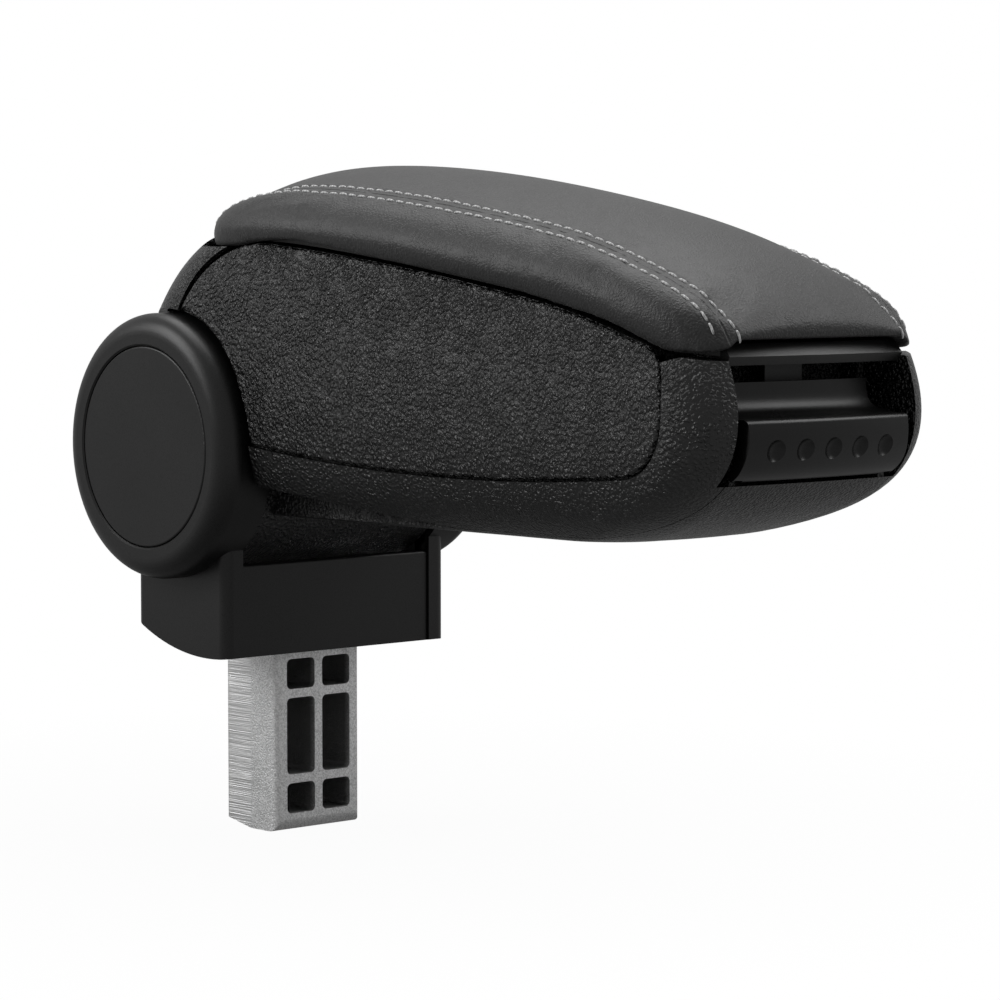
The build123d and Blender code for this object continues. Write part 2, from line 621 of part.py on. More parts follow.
lid_frame += bar
arm_screw_spots = [(x, s * (ARM_Y - ARM_FLANGE / 2)) for x in LID_SCREW_X for s in (-1, 1)]
for x, y in arm_screw_spots:
    boss = peg(x, y, 2.8 * LID_SCREW_R, ARM_TOP_Z, ARM_TOP_Z + 10)
    lid_frame += boss & prism(under_rim(LID_GAP + 1), -FAR, FAR)
    lid_frame -= peg(x, y, LID_SCREW_R + RUN_FIT, ARM_TOP_Z - 1, ARM_TOP_Z + 1.4 * LID_SCREW_BITE)
save(largest(lid_frame), "lid_frame")

# Lid: tail that rolls down behind the shoulders, closed at its end by a rib over the drum
tail = tail_hull(0) - tail_hull(TAIL_WALL)
rib_from = TAIL_CUT_DEG - TAIL_RIB_DEG
tail_rib = [round_axle(DRUM_R, rib_from), round_axle(1.5 * EAR_R, rib_from),
            round_axle(1.5 * EAR_R, TAIL_CUT_DEG), round_axle(DRUM_R, TAIL_CUT_DEG)]
tail += poly_prism(tail_rib, -FAR, FAR) & tail_hull(TAIL_WALL / 2)
behind = [(AXLE_X, AXLE_Z)] + [round_axle(3 * EAR_R, a) for a in (TAIL_CUT_DEG, 150, 200, 270)]
tail -= poly_prism(behind, -FAR, FAR)
for side in (-1, 1):
    tail -= axle_rod(EAR_R + EAR_GAP, side * (DRUM_END_Y - 1), side * FAR)
tail -= axle_rod(DRUM_R + 1, -FAR, FAR)
tail -= side_prism(-TAIL_GAP, EAR_GAP, -FAR, FAR)
tail -= block(CUSHION[0][0] - 2 * SLIP, FAR, -FAR, FAR, SKIRT[0][1] - 2 * SLIP, FAR)
tail -= block(TAIL_FRONT_X, FAR, -FAR, FAR, 0, FAR)
save(largest(tail), "lid_tail")

# Lid: cushion that sits on the plate and hangs down round it
sections = []
for x, z_seam, rise, seam, low in CUSHION:
    z_side = z_seam - SIDE_DROP - 0.55 * (low - seam)
    z_foot = z_side - 30
    middle = (low + seam) / 2 + 2.6
    turn = []
    for sign in (1, -1):
        turn.append([(x, sign * (low - TUCK), z_foot), (x, sign * (low - TUCK), z_side - 2.2 * TUCK),
                     (x, sign * (low - 0.2 * TUCK), z_side - 1.2 * TUCK), (x, sign * (low + 1), z_side),
                     (x, sign * middle, z_seam - 3.0), (x, sign * seam, z_seam)])
    a, b = turn
    sections.append(Wire([
        Line(b[0], a[0]),
        Line(a[0], a[1]),
        ThreePointArc(a[1], a[2], a[3]),
        ThreePointArc(a[3], a[4], a[5]),
        ThreePointArc(a[5], (x, 0, z_seam + rise), b[5]),
        ThreePointArc(b[5], b[4], b[3]),
        ThreePointArc(b[3], b[2], b[1]),
        Line(b[1], b[0]),
    ]))
cushion = Solid.make_loft(sections, False)
cushion -= prism(region([spline_xz(SKIRT)], [(SKIRT[-1][0], 0), (SKIRT[0][0], 0)]), -FAR, FAR)
cushion -= prism(lid_band, -FAR, FAR) & offset(plate_slab, SLIP)
bar_room_x = bar_back - LID_T - SLIP
cushion -= block(bar_room_x, FAR, -BAR_HALF_Y - SLIP, BAR_HALF_Y + SLIP, 0, BAR_TOP_Z + SLIP)
save(largest(cushion), "lid_cushion")

# Lid: hinge arms that reach through the drum's slots to the axle, and their screws
arm_rear_x = 12.0
arm_front_x = 42.0
arm_side = [round_axle(WASHER_R, 150), round_axle(DRUM_R - 2, 93), (arm_rear_x - 10, ARM_TOP_Z - 12),
            (arm_rear_x - 2, ARM_TOP_Z), (arm_front_x, ARM_TOP_Z), (arm_front_x, ARM_TOP_Z - 4),
            (arm_rear_x + 12, ARM_TOP_Z - 12), round_axle(DRUM_R - 2, 70), round_axle(WASHER_R, 20)]
arm = poly_prism(arm_side, ARM_Y, ARM_Y + ARM_T) + axle_rod(WASHER_R, ARM_Y, ARM_Y + ARM_T)
arm += block(arm_rear_x, arm_front_x, ARM_Y - ARM_FLANGE, ARM_Y, ARM_TOP_Z - ARM_FLANGE_T, ARM_TOP_Z)
arm -= axle_rod(AXLE_R + RUN_FIT, ARM_Y - 1, ARM_Y + ARM_T + 1)
for x, y in arm_screw_spots:
    arm -= peg(x, y, LID_SCREW_R + SLIP, ARM_TOP_Z - 2 * ARM_FLANGE_T, ARM_TOP_Z + 1)
save_pair(largest(arm), "lid_arm")
arm_under_z = ARM_TOP_Z - ARM_FLANGE_T
lid_screws = []
for x, y in arm_screw_spots:
    head = peg(x, y, 2 * LID_SCREW_R, arm_under_z - LID_SCREW_HEAD, arm_under_z)
    lid_screws.append(head + peg(x, y, LID_SCREW_R, arm_under_z, ARM_TOP_Z + LID_SCREW_BITE))
save(Compound(children=lid_screws), "lid_screws")

# Latch: lever with its finger scoop, bowed like the nose


def lever_points(table):
    return [(LEVER_FRONT_X - setback, LIP_Z + rise) for setback, rise in table]


lever_back = lever_points(LEVER_BACK)
catch_tip_x, _ = lever_back[1]
_, catch_under_z = lever_back[3]
_, scoop_under_z = lever_back[5]
front = spline_xz(lever_points(LEVER_FRONT))
lip = arc_xz(*lever_points(LEVER_LIP))
scoop = spline_xz(lever_points(LEVER_SCOOP))
lever_face = region([front, lip, scoop], lever_back)
lever = bowed(lever_face, LEVER_HALF_Y, LEVER_FRONT_X)
lever &= rounded_plan(BAY_BACK_X, LEVER_FRONT_X + 1, LEVER_HALF_Y - SLIP, LEVER_END_R)
for i in range(-2, 3):
    y = i * DIMPLE_PITCH
    x_face = LEVER_FRONT_X - 0.8 - LEVER_BOW * (y / LEVER_HALF_Y) ** 2
    lever -= Pos(x_face - DIMPLE_DEPTH + DIMPLE_R, y, LIP_Z + DIMPLE_RISE) * Sphere(DIMPLE_R)
for side in (-1, 1):
    lever -= block(BAY_X, PIN_X + 3.5 * PIN_R, side * (rib_y - 2 * SLIP), side * (pin_end_y + 2 * SLIP),
                   LIP_Z, PIN_Z + 5 * PIN_R)
    lug = [(PIN_X - PIN_R, PIN_Z + 2 * PIN_R), (PIN_X + PIN_R, PIN_Z - 2 * PIN_R)] + lever_points(LEVER_LUG)
    lever += poly_prism(lug, side * LUG_Y, side * (LUG_Y + LUG_T))
    lever += rod(PIN_X, PIN_Z, 2.2 * PIN_R, side * LUG_Y, side * (LUG_Y + LUG_T))
    notch = block(BAY_BACK_X, LEVER_FRONT_X - NOTCH_SETBACK, side * NOTCH_Y, side * FAR,
                  LIP_Z + NOTCH_RISE, FAR)
    inner_low = notch.edges().filter_by(Axis.X).sort_by(lambda e: abs(e.center().Y) + e.center().Z)[0]
    lever -= fillet([inner_low], NOTCH_R)
lever -= rod(PIN_X, PIN_Z, PIN_R + RUN_FIT, -FAR, FAR)
save(largest(lever), "latch_lever")
save(rod(PIN_X, PIN_Z, PIN_R, -pin_end_y, pin_end_y), "latch_pin")

# Latch: keeper under the lid, with a hook below the lever's catch
hook_top_z = catch_under_z - CATCH_CLEAR
hook_tip_x = catch_tip_x - CATCH_CLEAR
hook_x = hook_tip_x - 2 * KEEPER_T
under_plate = prism(under_rim(LID_GAP), -KEEPER_HALF_Y, KEEPER_HALF_Y)
leaf = under_plate - prism(under_rim(LID_GAP - KEEPER_T), -KEEPER_HALF_Y, KEEPER_HALF_Y)
keeper = leaf & block(hook_x - 4, hook_x + 2 * KEEPER_T, -FAR, FAR, 0, FAR)
keeper += under_plate & block(hook_x, hook_x + KEEPER_T, -FAR, FAR, hook_top_z - 4, FAR)
hook = [(hook_x, hook_top_z - 4), (hook_x + KEEPER_T, hook_top_z - 4), (hook_tip_x, hook_top_z - 2),
        (hook_tip_x, hook_top_z), (hook_x, hook_top_z)]
keeper += poly_prism(hook, -KEEPER_HALF_Y, KEEPER_HALF_Y)
save(largest(keeper), "lid_keeper")

# Latch: torsion spring round the pin, one leg to the floor and one behind the lever
helix = Helix(SPRING_PITCH, SPRING_PITCH * SPRING_TURNS, SPRING_R)
coil = sweep(Plane(origin=helix @ 0, z_dir=helix % 0) * Circle(SPRING_WIRE_R), path=helix)
spring_y = SPRING_PITCH * SPRING_TURNS / 2
coil = Pos(PIN_X, spring_y, PIN_Z) * Rot(90, 0, 0) * coil
leg_x = PIN_X + SPRING_R
coil += peg(leg_x, spring_y, SPRING_WIRE_R, LIP_Z + 1, PIN_Z)
coil += peg(leg_x, -spring_y, SPRING_WIRE_R, PIN_Z, scoop_under_z - 1.2)
save(coil, "latch_spring")
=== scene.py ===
# %% [markdown]
# # A car's centre armrest, dressed for its portrait
#
# The armrest is a small box on a post. A padded lid closes the box, two round ears hold it at the
# rear, and a lever in the nose frees the lid. Its construction comes in as a fixed frame of solid
# pieces, in metres. This lesson adds what such a frame lacks: the stuffed cushion with its double
# rows of stitches, and a finish for every surface. Nothing that comes in is moved or reshaped.

# %% Bring in the frame
from math import cos, pi, radians, sin

import bpy
from mathutils import Matrix, Vector


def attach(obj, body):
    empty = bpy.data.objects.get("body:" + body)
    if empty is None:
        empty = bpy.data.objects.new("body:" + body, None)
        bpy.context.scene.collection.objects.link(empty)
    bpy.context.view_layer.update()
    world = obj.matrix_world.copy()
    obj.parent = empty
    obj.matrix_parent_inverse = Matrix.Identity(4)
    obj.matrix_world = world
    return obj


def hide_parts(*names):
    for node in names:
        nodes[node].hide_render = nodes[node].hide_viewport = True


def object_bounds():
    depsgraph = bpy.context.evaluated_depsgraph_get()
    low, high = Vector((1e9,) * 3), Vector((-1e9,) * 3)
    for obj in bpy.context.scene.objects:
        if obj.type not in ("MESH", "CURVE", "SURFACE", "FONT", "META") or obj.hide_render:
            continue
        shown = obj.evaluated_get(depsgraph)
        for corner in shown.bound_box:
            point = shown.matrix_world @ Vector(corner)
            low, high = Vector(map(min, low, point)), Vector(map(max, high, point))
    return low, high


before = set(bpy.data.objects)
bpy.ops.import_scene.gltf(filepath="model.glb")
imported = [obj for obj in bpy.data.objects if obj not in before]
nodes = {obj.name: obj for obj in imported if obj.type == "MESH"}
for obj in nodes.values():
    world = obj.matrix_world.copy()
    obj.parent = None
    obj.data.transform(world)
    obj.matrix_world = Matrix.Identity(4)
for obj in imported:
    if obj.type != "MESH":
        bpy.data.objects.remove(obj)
cad_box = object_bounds()
scene = bpy.context.scene
MM = 0.001
print("pieces of the frame:", len(nodes))


# %% [markdown]
# ## Small helpers
#
# Blender's operators act on whatever is selected, and the frame arrives selected. So every piece
# starts by deselecting everything and making one object active. The other helpers place a shader
# node, join two sockets and map one range onto another, which keeps the finishes below short
# enough to read. A Mix node lists the sockets of all its kinds at once, so those go by number.

# %% Helpers for objects and nodes
MIX_SHARE = 0
VALUE_A, VALUE_B, VALUE_OUT = 2, 3, 0
COLOUR_A, COLOUR_B, COLOUR_OUT = 6, 7, 2


def activate(piece):
    """Select one object alone and make it the one that operators work on."""
    if bpy.context.object and bpy.context.object.mode != "OBJECT":
        bpy.ops.object.mode_set(mode="OBJECT")
    bpy.ops.object.select_all(action="DESELECT")
    piece.select_set(True)
    bpy.context.view_layer.objects.active = piece
    return piece


def put(tree, kind, values=None, **settings):
    """Add a shader node, set its options and then its unlinked sockets."""
    made = tree.nodes.new("ShaderNode" + kind)
    for name, value in settings.items():
        setattr(made, name, value)
    for name, value in (values or {}).items():
        made.inputs[name].default_value = value
    return made


def wire(tree, source, output, target, entry):
    """Join an output of one node to an entry of another."""
    tree.links.new(source.outputs[output], target.inputs[entry])


def ramp(tree, before, after=(0.0, 1.0)):
    """A node that maps one range of values onto another."""
    return put(tree, "MapRange", {
        "From Min": before[0], "From Max": before[1], "To Min": after[0], "To Max": after[1]})


def grey(level):
    """A colour without hue."""
    return (level, level, level, 1.0)


def limited(value, low=0.0, high=1.0):
    """The value, kept between two limits."""
    return min(high, max(low, value))


print("helpers:", [tool.__name__ for tool in (activate, put, wire, ramp, grey, limited)])


# %% [markdown]
# ## The camera
#
# The picture is taken with a long lens from the front right, only four degrees above level, so
# that upright edges stay nearly upright. A camera's own axes are right, up and backwards. Writing
# those three directions into its matrix sets the angle exactly, where a tracking constraint would
# only aim at a point.

# %% Camera at the picture's angle
CAMERA_AT = Vector((1079.66, -876.52, 155.72)) * MM
VIEW_AZIMUTH = radians(47.61)
VIEW_ELEVATION = radians(4.13)
LENS_MM = 129.57
SENSOR_MM = 36.0
NEAREST_SEEN = 0.05


def view_axes(azimuth, elevation):
    """Right, up and backwards of a camera that looks from the given angles."""
    right = Vector((cos(azimuth), sin(azimuth), 0.0))
    back = Vector((sin(azimuth) * cos(elevation), -cos(azimuth) * cos(elevation), sin(elevation)))
    return right, back.cross(right), back


camera_data = bpy.data.cameras.new("portrait_camera")
camera_data.lens = LENS_MM
camera_data.sensor_width = SENSOR_MM
camera_data.clip_start = NEAREST_SEEN
camera = bpy.data.objects.new("portrait_camera", camera_data)
scene.collection.objects.link(camera)
turn = Matrix(view_axes(VIEW_AZIMUTH, VIEW_ELEVATION)).transposed().to_4x4()
camera.matrix_world = Matrix.Translation(CAMERA_AT) @ turn
scene.camera = camera
scene.view_settings.view_transform = "Standard"
print("camera stands", round(CAMERA_AT.length, 3), "m from the post")


# %% [markdown]
# ## Soft panels
#
# A black product on white is lit by large soft panels: one overhead, which draws the bright top of
# the cushion, one from the left for the near side, and a weak one from behind for the edges of the
# nose. Small lamps would leave hard sparks in every grain, so the panels are wide.

# %% Hang the soft panels
PANELS = [
    ("overhead_panel", (-0.12, 0.25, 1.30), (0.1, 0.0, 0.12), 1.3, 1.1, 12.5),
    ("left_panel", (-0.85, -1.15, 0.92), (0.05, 0.0, 0.08), 0.8, 0.9, 12.0),
    ("back_panel", (0.72, 0.98, 1.02), (0.25, 0.0, 0.10), 0.9, 0.5, 4.5),
]


def soft_panel(name, place, target, width, height, watts):
    """A rectangular light at one place, turned towards another."""
    data = bpy.data.lights.new(name, "AREA")
    data.shape = "RECTANGLE"
    data.size = width
    data.size_y = height
    data.energy = watts
    panel = bpy.data.objects.new(name, data)
    panel.location = place
    panel.rotation_euler = (Vector(target) - Vector(place)).to_track_quat("-Z", "Y").to_euler()
    scene.collection.objects.link(panel)


for panel in PANELS:
    soft_panel(*panel)
print("soft panels:", [name for name, *_ in PANELS])


# %% [markdown]
# ## Floor and surroundings
#
# White paper could be lit until it burns out, but then it would light the black from below. So the
# floor glows for the camera alone, a touch less close to the post, which keeps the soft shadow
# there. Glossy surfaces mirror a grey floor that grows lighter with distance, as a real sweep of
# paper does, and beyond it an even grey. Only the camera sees the surroundings as white.

# %% Lay the floor and set the surroundings
FLOOR_SIZE = 12.0
FLOOR_DROP = 0.4 * MM
FLOOR_TONE = 0.40
SHADOW_RANGE = (0.08, 0.36)
SHADOW_GLOW = (0.965, 1.0)
MIRROR_RANGE = (0.15, 0.50)
MIRROR_NEAR = 0.16
MIRROR_LEVEL = 0.44
WORLD_LEVEL = 0.12


def floor_finish():
    """Paper that is white for the camera and grey for mirrors, by distance from the middle."""
    made = bpy.data.materials.new("studio_floor")
    made.use_nodes = True
    tree = made.node_tree
    tree.nodes.clear()
    paper = put(tree, "BsdfDiffuse", {"Color": grey(FLOOR_TONE)})
    glow = put(tree, "Emission", {"Color": grey(1.0)})
    rays = put(tree, "LightPath")
    coords = put(tree, "TexCoord")
    away = put(tree, "VectorMath", operation="LENGTH")
    glow_share = ramp(tree, SHADOW_RANGE, SHADOW_GLOW)
    seen = put(tree, "Math", operation="MULTIPLY")
    share = put(tree, "Math", operation="ADD")
    mirror = ramp(tree, MIRROR_RANGE, (MIRROR_NEAR, MIRROR_LEVEL))
    strength = put(tree, "Math", operation="MULTIPLY_ADD")
    mix = put(tree, "MixShader")
    out = put(tree, "OutputMaterial")
    wire(tree, coords, "Object", away, 0)
    wire(tree, away, "Value", glow_share, "Value")
    wire(tree, away, "Value", mirror, "Value")
    wire(tree, mirror, "Result", strength, 1)
    wire(tree, rays, "Is Camera Ray", seen, 0)
    wire(tree, glow_share, "Result", seen, 1)
    wire(tree, seen, 0, share, 0)
    wire(tree, rays, "Is Glossy Ray", share, 1)
    wire(tree, rays, "Is Glossy Ray", strength, 0)
    wire(tree, rays, "Is Camera Ray", strength, 2)
    wire(tree, strength, 0, glow, "Strength")
    wire(tree, share, 0, mix, "Fac")
    wire(tree, paper, 0, mix, 1)
    wire(tree, glow, 0, mix, 2)
    wire(tree, mix, 0, out, "Surface")
    return made


def studio_world(level, mirror_level):
    """Dim light from all round, a lighter grey in mirrors, and white for the camera."""
    world = bpy.data.worlds.new("studio")
    scene.world = world
    world.use_nodes = True
    tree = world.node_tree
    tree.nodes.clear()
    rays = put(tree, "LightPath")
    light = put(tree, "Background", {"Color": grey(1.0), "Strength": level})
    mirrored = put(tree, "Background", {"Color": grey(1.0), "Strength": mirror_level})
    white = put(tree, "Background", {"Color": grey(1.0), "Strength": 1.0})
    seen = put(tree, "Math", operation="MAXIMUM")
    for_mirrors = put(tree, "MixShader")
    for_camera = put(tree, "MixShader")
    out = put(tree, "OutputWorld")
    wire(tree, rays, "Is Glossy Ray", for_mirrors, "Fac")
    wire(tree, light, 0, for_mirrors, 1)
    wire(tree, mirrored, 0, for_mirrors, 2)
    wire(tree, rays, "Is Camera Ray", seen, 0)
    wire(tree, rays, "Is Transmission Ray", seen, 1)
    wire(tree, seen, 0, for_camera, "Fac")
    wire(tree, for_mirrors, 0, for_camera, 1)
    wire(tree, white, 0, for_camera, 2)
    wire(tree, for_camera, 0, out, "Surface")


bpy.ops.object.select_all(action="DESELECT")
floor_z = cad_box[0][2] - FLOOR_DROP
bpy.ops.mesh.primitive_plane_add(size=FLOOR_SIZE, location=(0, 0, floor_z))
floor = bpy.context.object
floor.name = "studio_floor"
bpy.ops.object.transform_apply(location=True)
floor.data.materials.append(floor_finish())
studio_world(level=WORLD_LEVEL, mirror_level=MIRROR_LEVEL)
print("floor lies at", round(floor_z / MM, 2), "mm")


# %% [markdown]
# ## Effects that several finishes share
#
# Moulded grain is a field of small rounded pebbles with fine valleys. It could be painted, but the
# steel of a real mould is etched evenly, so a cell pattern whose cells are bent by a little noise
# gives the same thing at any size. Slow patches make some pebbles stand up more than others. The
# drift is the unevenness that no moulding lacks.

# %% Node groups for grain and drift
BEND_CELLS = 1.1
CELL_SMOOTH = 0.35
DOME_RANGE = (0.12, 0.72)
FINE_TIMES = 2.3
FINE_SHARE = 0.35
PATCH_TIMES = 0.16
PATCH_RANGE = (0.35, 0.62)
PATCH_LIFT = (0.45, 1.0)
# The lines between the pebbles are darkened in colour as painted shade.
VALLEY_SHADE_RANGE = (0.5, 0.75)
# The crowns of the pebbles are lightened in colour as painted glints.
GLINT_PAINT_RANGE = (0.30, 0.10)
DRIFT_RANGE = (0.3, 0.7)


def new_group(name, inputs, outputs):
    """An empty node group with named entries, and outputs that are plain values."""
    tree = bpy.data.node_groups.new(name, "ShaderNodeTree")
    for label, kind in inputs:
        tree.interface.new_socket(label, in_out="INPUT", socket_type=kind)
    for label in outputs:
        tree.interface.new_socket(label, in_out="OUTPUT", socket_type="NodeSocketFloat")
    return tree, tree.nodes.new("NodeGroupInput"), tree.nodes.new("NodeGroupOutput")


def pebble_group():
    """Pebbles: height for bump, masks for painted shade between them and painted glints on top."""
    entries = [("Vector", "NodeSocketVector"), ("Cells", "NodeSocketFloat")]
    tree, given, result = new_group("pebble_grain", entries, ["Height", "Valley Shade", "Glint Paint"])
    bend = put(tree, "TexNoise", {"Detail": 1.0, "Roughness": 0.5})
    centre = put(tree, "VectorMath", {1: (0.5, 0.5, 0.5)}, operation="SUBTRACT")
    reach = put(tree, "Math", {0: BEND_CELLS}, operation="DIVIDE")
    push = put(tree, "VectorMath", operation="SCALE")
    bent = put(tree, "VectorMath", operation="ADD")
    cells = put(tree, "TexVoronoi", {"Randomness": 1.0}, feature="SMOOTH_F1")
    cells.inputs["Smoothness"].default_value = CELL_SMOOTH
    dome = ramp(tree, DOME_RANGE, (1.0, 0.0))
    dome.interpolation_type = "SMOOTHSTEP"
    fine_scale = put(tree, "Math", {1: FINE_TIMES}, operation="MULTIPLY")
    fine = put(tree, "TexNoise", {"Detail": 2.0, "Roughness": 0.6})
    fine_part = put(tree, "Math", {1: FINE_SHARE}, operation="MULTIPLY")
    patch_scale = put(tree, "Math", {1: PATCH_TIMES}, operation="MULTIPLY")
    patch = put(tree, "TexNoise", {"Detail": 1.0, "Roughness": 0.5})
    patch_lift = ramp(tree, PATCH_RANGE, PATCH_LIFT)
    lifted = put(tree, "Math", operation="MULTIPLY")
    total = put(tree, "Math", operation="ADD")
    # Painted shade: a mask of the lines between the pebbles.
    valley_shade_mask = ramp(tree, VALLEY_SHADE_RANGE)
    # Painted glints: a mask of the pebbles' crowns, where lamps would glint.
    glint_paint = ramp(tree, GLINT_PAINT_RANGE)
    glint_paint_lifted = put(tree, "Math", operation="MULTIPLY")
    wire(tree, given, "Vector", bend, "Vector")
    wire(tree, given, "Cells", bend, "Scale")
    wire(tree, bend, "Color", centre, 0)
    wire(tree, given, "Cells", reach, 1)
    wire(tree, centre, 0, push, 0)
    wire(tree, reach, 0, push, "Scale")
    wire(tree, given, "Vector", bent, 0)
    wire(tree, push, 0, bent, 1)
    wire(tree, bent, 0, cells, "Vector")
    wire(tree, given, "Cells", cells, "Scale")
    wire(tree, cells, "Distance", dome, "Value")
    wire(tree, given, "Cells", fine_scale, 0)
    wire(tree, given, "Vector", fine, "Vector")
    wire(tree, fine_scale, 0, fine, "Scale")
    wire(tree, fine, "Fac", fine_part, 0)
    wire(tree, given, "Cells", patch_scale, 0)
    wire(tree, given, "Vector", patch, "Vector")
    wire(tree, patch_scale, 0, patch, "Scale")
    wire(tree, patch, "Fac", patch_lift, "Value")
    wire(tree, dome, "Result", lifted, 0)
    wire(tree, patch_lift, "Result", lifted, 1)
    wire(tree, lifted, 0, total, 0)
    wire(tree, fine_part, 0, total, 1)
    wire(tree, cells, "Distance", valley_shade_mask, "Value")
    wire(tree, total, 0, result, "Height")
    wire(tree, valley_shade_mask, "Result", result, "Valley Shade")
    wire(tree, cells, "Distance", glint_paint, "Value")
    wire(tree, glint_paint, "Result", glint_paint_lifted, 0)
    wire(tree, patch_lift, "Result", glint_paint_lifted, 1)
    wire(tree, glint_paint_lifted, 0, result, "Glint Paint")
    return tree


def drift_group():
    """Slow unevenness from 0 to 1, with a trace of finer cloud in it."""
    entries = [("Vector", "NodeSocketVector"), ("Clouds", "NodeSocketFloat")]
    tree, given, result = new_group("slow_drift", entries, ["Drift"])
    clouds = put(tree, "TexNoise", {"Detail": 4.0, "Roughness": 0.55})
    spread = ramp(tree, DRIFT_RANGE)
    wire(tree, given, "Vector", clouds, "Vector")
    wire(tree, given, "Clouds", clouds, "Scale")
    wire(tree, clouds, "Fac", spread, "Value")
    wire(tree, spread, "Result", result, "Drift")
    return tree


PEBBLES = pebble_group()
DRIFT = drift_group()
print("shared effects:", PEBBLES.name, DRIFT.name)


# %% [markdown]
# ## The black plastics
#
# The ears and caps are smooth satin mouldings, and the lever takes a darker copy of that satin,
# which paints in the shade on its face. The box and its inlays have a moulded grain with painted
# glints on its crowns, and the cushion's cover is a finer grain with a soft sheen and slow dents.
# All of them are one recipe with different numbers: two near-black tones mixed by the drift,
# painted shade in the valleys, painted glints on the crowns, roughness that follows the drift, and
# a bump from the pebbles. The steady values are written on the shader itself.

# %% A recipe for black mouldings and covers
PLAIN_GLOSS = 0.5
SHEEN_ROUGH = 0.45
DENT_CLOUDS = 75.0
SLOW_CLOUDS = 18.0


def new_finish(name):
    """A new material with its shader and a source of coordinates."""
    made = bpy.data.materials.new(name)
    made.use_nodes = True
    tree = made.node_tree
    return made, tree, tree.nodes["Principled BSDF"], put(tree, "TexCoord")


def group_node(tree, group, coords, label, amount):
    """One use of a shared effect, with its number set."""
    made = put(tree, "Group")
    made.node_tree = group
    made.inputs[label].default_value = amount
    wire(tree, coords, "Object", made, "Vector")
    return made


def soft_dents(tree, coords, bump, depth_mm):
    """Slow dents under the grain, as in a cover over foam."""
    dents = group_node(tree, DRIFT, coords, "Clouds", DENT_CLOUDS)
    soft = put(tree, "Bump", {"Strength": 1.0, "Distance": depth_mm * MM})
    wire(tree, dents, "Drift", soft, "Height")
    wire(tree, soft, "Normal", bump, "Normal")


def black_finish(name, tones, rough, cells, depth_mm, valley_shade_level=0.5, glint_paint=1.0, gloss=PLAIN_GLOSS,
                 sheen=0.0, dents_mm=0.0):
    """A surface of two close tones, with pebbles of the given count per metre and depth."""
    made, tree, shader, coords = new_finish(name)
    shader.inputs["Specular IOR Level"].default_value = gloss
    if sheen:
        shader.inputs["Sheen Weight"].default_value = sheen
        shader.inputs["Sheen Roughness"].default_value = SHEEN_ROUGH
    drift = group_node(tree, DRIFT, coords, "Clouds", SLOW_CLOUDS)
    pebbles = group_node(tree, PEBBLES, coords, "Cells", cells)
    colour = put(tree, "Mix", {"A": grey(tones[0]), "B": grey(tones[1])}, data_type="RGBA")
    # Painted shade darkens the lines between the pebbles.
    shade = put(tree, "Mix", {"B": grey(tones[0] * valley_shade_level)}, data_type="RGBA")
    # Painted glints lighten the crowns of the pebbles.
    glint_paint_mix = put(tree, "Mix", {"B": grey(tones[1] * glint_paint)}, data_type="RGBA")
    roughness = ramp(tree, (0.0, 1.0), rough)
    bump = put(tree, "Bump", {"Strength": 1.0, "Distance": depth_mm * MM})
    wire(tree, drift, "Drift", colour, MIX_SHARE)
    wire(tree, colour, COLOUR_OUT, shade, COLOUR_A)
    wire(tree, pebbles, "Valley Shade", shade, MIX_SHARE)
    wire(tree, shade, COLOUR_OUT, glint_paint_mix, COLOUR_A)
    wire(tree, pebbles, "Glint Paint", glint_paint_mix, MIX_SHARE)
    wire(tree, glint_paint_mix, COLOUR_OUT, shader, "Base Color")
    wire(tree, drift, "Drift", roughness, "Value")
    wire(tree, roughness, "Result", shader, "Roughness")
    wire(tree, pebbles, "Height", bump, "Height")
    wire(tree, bump, "Normal", shader, "Normal")
    if dents_mm:
        soft_dents(tree, coords, bump, dents_mm)
    return made


satin = black_finish("satin_plastic", (0.007, 0.011), (0.32, 0.40), 2600.0, 0.012, gloss=0.38)
inlay_grain = black_finish("inlay_grain", (0.005, 0.009), (0.22, 0.30), 640.0, 1.00, glint_paint=16.0)
shell_grain = black_finish("shell_grain", (0.003, 0.006), (0.26, 0.36), 740.0, 0.62, glint_paint=6.0)
tub_grain = black_finish("tub_grain", (0.004, 0.007), (0.26, 0.36), 820.0, 0.60, glint_paint=9.0)
# Painted shade: the lever is the same satin, darkened for the shade on its face.
lever_shaded_satin = black_finish("lever_shaded_satin", (0.004, 0.007), (0.26, 0.34), 2600.0, 0.010, gloss=0.30)
rubber = black_finish("mat_rubber", (0.020, 0.030), (0.70, 0.82), 600.0, 0.20)
cover_grain = black_finish("cover_leatherette", (0.020, 0.026), (0.42, 0.52), 1150.0, 0.10,
                           glint_paint=1.5, gloss=0.40, sheen=0.12, dents_mm=0.05)
blacks = [satin, inlay_grain, shell_grain, tub_grain, lever_shaded_satin, rubber, cover_grain]
print("black finishes:", len(blacks))


# %% [markdown]
# ## Metal and nylon
#
# The post is a raw aluminium casting: its front keeps the sandy skin, and the rear half of its
# sides has been milled, which leaves fine level streaks. Streaks are a noise that is stretched far
# along two axes. A mask along X keeps them to the milled half, and a second mask paints shade into
# the six pockets in the front. Bolts and arms take the same recipe without streaks. Nylon washers
# are the black recipe with pale tones.

# %% Cast aluminium, plated steel and nylon
POCKET_HALF_Y = 17.5 * MM
POCKET_MOUTH_X = (15.2 * MM, 12.5 * MM)
POCKET_BACK_X = -12.0 * MM
POCKET_TOP_Z = -2.0 * MM
POCKET_FOOT_Z = -66.5 * MM
# Painted shade: the colour inside the pockets is darkened to this share.
POCKET_SHADE_TONE = 0.34
SKIN_SCALE = 1500.0
STREAK_STRETCH = (30.0, 30.0, 2600.0)
MILLED_X = (1.0 * MM, -0.5 * MM)
GRAIN_RANGE = (0.36, 0.62)


